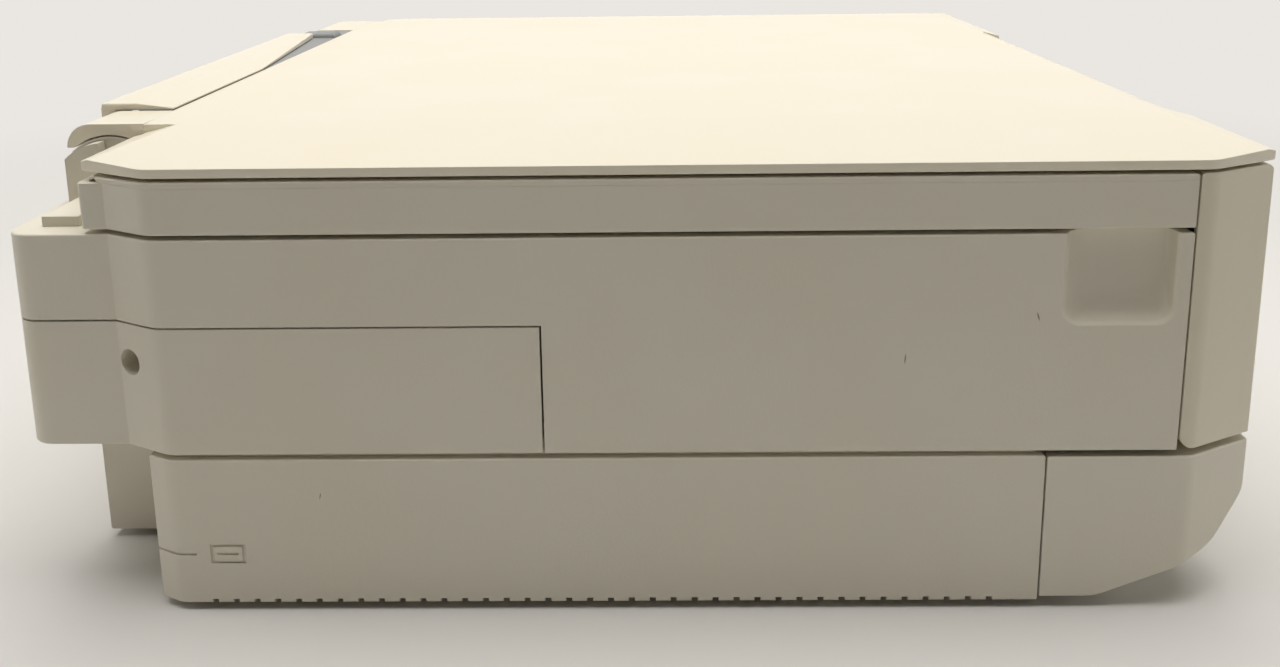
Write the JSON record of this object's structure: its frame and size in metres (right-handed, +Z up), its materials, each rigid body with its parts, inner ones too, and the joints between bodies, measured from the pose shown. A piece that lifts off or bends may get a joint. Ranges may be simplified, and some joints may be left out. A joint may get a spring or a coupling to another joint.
{
  "type": "inkjet printer",
  "caption": "Low white all-in-one inkjet printer with a flatbed scanner and lid, tilting front panel, front paper cassette and a rear duplex unit.",
  "frame": {"origin": "on the floor under the middle of the overall box", "axes": "+X to the printer's right hand side as it faces the user, front towards -Y, +Z up"},
  "size_m": [0.446, 0.385, 0.15],
  "materials": {
    "casing_plastic": "fine moulded grain, slightly yellowed",
    "lid_plastic": "smooth satin cream",
    "panel_plastic": "smooth satin, more yellowed than the casing",
    "grey_plastic": "fine moulded grain",
    "dark_plastic": "fine moulded grain",
    "gear_plastic": "plain moulded",
    "sheet_steel": "rolled sheet, zinc plated",
    "bright_steel": "ground bar",
    "rubber": "matt",
    "clear_glass": "clear polished plate",
    "display_glass": "dark polished window",
    "white_mat": "white film over foam",
    "board_green": "solder mask",
    "supply_case": "plain moulded"
  },
  "bodies": {
    "housing": {"lower_housing": "casing_plastic", "rubber_feet": "rubber", "upper_housing": "casing_plastic", "rear_lower_cover": "casing_plastic", "front_bezel": "dark_plastic", "hinge_pedestals": "casing_plastic", "panel_brackets": "sheet_steel", "left_side_frame": "sheet_steel", "right_side_frame": "sheet_steel", "roller_bushes": "gear_plastic", "pinch_holder": "dark_plastic", "platen": "dark_plastic", "star_wheel_bar": "dark_plastic", "capping_station": "dark_plastic", "carriage_rail": "sheet_steel", "timing_belt": "rubber", "carriage_motor": "bright_steel", "feed_motor": "bright_steel", "main_board": "board_green", "power_supply": "supply_case", "data_socket": "sheet_steel", "power_inlet": "dark_plastic"},
    "scanner": {"scanner_case": "casing_plastic", "scanner_bezel": "casing_plastic", "scanner_glass": "clear_glass", "scan_guide_rod": "bright_steel"},
    "scan_bar": {"scan_bar": "dark_plastic"},
    "lid": {"document_lid": "lid_plastic", "document_mat": "white_mat", "lid_hinge_arms": "lid_plastic", "flap_barrel": "grey_plastic"},
    "flap": {"rear_flap": "lid_plastic"},
    "panel": {"panel_shell": "panel_plastic", "panel_back": "dark_plastic", "panel_hinge_pins": "bright_steel", "display": "display_glass"},
    "power_button": {"power_button": "grey_plastic"},
    "home_button": {"home_button": "grey_plastic"},
    "stop_button": {"stop_button": "grey_plastic"},
    "start_button": {"start_button": "grey_plastic"},
    "cassette": {"cassette_front": "casing_plastic", "cassette_tray": "grey_plastic"},
    "left_guide": {"left_paper_guide": "grey_plastic"},
    "right_guide": {"right_paper_guide": "grey_plastic"},
    "length_guide": {"length_guide": "grey_plastic"},
    "photo_tray": {"photo_tray": "grey_plastic"},
    "output_tray": {"output_tray": "grey_plastic"},
    "duplex": {"duplex_unit": "casing_plastic"},
    "duplex_roller": {"duplex_roller": "rubber"},
    "feed_roller": {"feed_roller": "bright_steel"},
    "exit_roller": {"exit_roller": "rubber"},
    "idler_gear": {"idler_gear": "gear_plastic"},
    "motor_pinion": {"motor_pinion": "gear_plastic"},
    "pinch_rollers": {"pinch_rollers": "rubber"},
    "carriage": {"print_carriage": "dark_plastic", "ink_cartridges": "dark_plastic", "print_head": "dark_plastic", "carriage_cover": "grey_plastic"},
    "drive_pulley": {"drive_pulley": "gear_plastic"},
    "idler_pulley": {"idler_pulley": "gear_plastic"}
  },
  "joints": [
    {"name": "scanner_hinge", "type": "hinge", "parent": "housing", "child": "scanner", "pos_m": [0, 0.1837, 0.129], "axis": [-1, 0, 0], "range_deg": [0, 25]},
    {"name": "scan_bar_slide", "type": "slide", "parent": "scanner", "child": "scan_bar", "axis": [1, 0, 0], "range_m": [0, 0.282]},
    {"name": "lid_hinge", "type": "hinge", "parent": "scanner", "child": "lid", "pos_m": [0, 0.1765, 0.124], "axis": [-1, 0, 0], "range_deg": [0, 68]},
    {"name": "flap_hinge", "type": "hinge", "parent": "lid", "child": "flap", "pos_m": [0, 0.18832, 0.14291], "axis": [-1, 0, 0], "range_deg": [0, 95]},
    {"name": "panel_tilt", "type": "hinge", "parent": "housing", "child": "panel", "pos_m": [0, -0.188, 0.1352], "axis": [-1, 0, 0], "range_deg": [0, 70]},
    {"name": "power_button_press", "type": "slide", "parent": "panel", "child": "power_button", "axis": [0, 1, 0], "range_m": [0, 0.0012], "stiffness_N_per_m": 350},
    {"name": "home_button_press", "type": "slide", "parent": "panel", "child": "home_button", "axis": [0, 1, 0], "range_m": [0, 0.0012], "stiffness_N_per_m": 350},
    {"name": "stop_button_press", "type": "slide", "parent": "panel", "child": "stop_button", "axis": [0, 1, 0], "range_m": [0, 0.0012], "stiffness_N_per_m": 350},
    {"name": "start_button_press", "type": "slide", "parent": "panel", "child": "start_button", "axis": [0, 1, 0], "range_m": [0, 0.0012], "stiffness_N_per_m": 350},
    {"name": "cassette_slide", "type": "slide", "parent": "housing", "child": "cassette", "axis": [0, -1, 0], "range_m": [0, 0.2]},
    {"name": "left_guide_slide", "type": "slide", "parent": "cassette", "child": "left_guide", "axis": [1, 0, 0], "range_m": [0, 0.045]},
    {"name": "right_guide_slide", "type": "slide", "parent": "cassette", "child": "right_guide", "axis": [-1, 0, 0], "range_m": [0, 0.045]},
    {"name": "length_guide_slide", "type": "slide", "parent": "cassette", "child": "length_guide", "axis": [0, 1, 0], "range_m": [0, 0.12]},
    {"name": "photo_tray_slide", "type": "slide", "parent": "cassette", "child": "photo_tray", "axis": [0, 1, 0], "range_m": [0, 0.12]},
    {"name": "output_tray_slide", "type": "slide", "parent": "cassette", "child": "output_tray", "axis": [0, -1, 0], "range_m": [0, 0.12]},
    {"name": "duplex_pull", "type": "slide", "parent": "housing", "child": "duplex", "axis": [0, 1, 0], "range_m": [0, 0.05]},
    {"name": "duplex_roller_spin", "type": "hinge", "parent": "duplex", "child": "duplex_roller", "pos_m": [0, 0.1626, 0.0277], "axis": [1, 0, 0], "continuous": true},
    {"name": "feed_roller_spin", "type": "hinge", "parent": "housing", "child": "feed_roller", "pos_m": [0, 0.042, 0.0625], "axis": [1, 0, 0], "continuous": true},
    {"name": "exit_roller_spin", "type": "hinge", "parent": "housing", "child": "exit_roller", "pos_m": [0, -0.035, 0.0625], "axis": [1, 0, 0], "continuous": true},
    {"name": "idler_gear_spin", "type": "hinge", "parent": "housing", "child": "idler_gear", "pos_m": [-0.195, 0.0035, 0.0625], "axis": [1, 0, 0], "continuous": true},
    {"name": "motor_pinion_spin", "type": "hinge", "parent": "housing", "child": "motor_pinion", "pos_m": [-0.195, 0.05962, 0.04772], "axis": [1, 0, 0], "continuous": true},
    {"name": "pinch_roller_spin", "type": "hinge", "parent": "housing", "child": "pinch_rollers", "pos_m": [0, 0.042, 0.0722], "axis": [1, 0, 0], "continuous": true},
    {"name": "carriage_slide", "type": "slide", "parent": "housing", "child": "carriage", "axis": [-1, 0, 0], "range_m": [0, 0.284]},
    {"name": "drive_pulley_spin", "type": "hinge", "parent": "housing", "child": "drive_pulley", "pos_m": [0.1735, 0.06, 0.099], "axis": [0, 1, 0], "range_deg": [0, 2730]},
    {"name": "idler_pulley_spin", "type": "hinge", "parent": "housing", "child": "idler_pulley", "pos_m": [-0.1735, 0.06, 0.099], "axis": [0, 1, 0], "range_deg": [0, 2730]}
  ],
  "couplings": [
    {"joint": "right_guide_slide", "follows": "left_guide_slide", "ratio": 1},
    {"joint": "exit_roller_spin", "follows": "feed_roller_spin", "ratio": 1},
    {"joint": "idler_gear_spin", "follows": "feed_roller_spin", "ratio": -0.71111},
    {"joint": "motor_pinion_spin", "follows": "feed_roller_spin", "ratio": -2.2857},
    {"joint": "pinch_roller_spin", "follows": "feed_roller_spin", "ratio": -1.375},
    {"joint": "drive_pulley_spin", "follows": "carriage_slide", "rad_per_m": 166.67},
    {"joint": "idler_pulley_spin", "follows": "carriage_slide", "rad_per_m": 166.67}
  ]
}
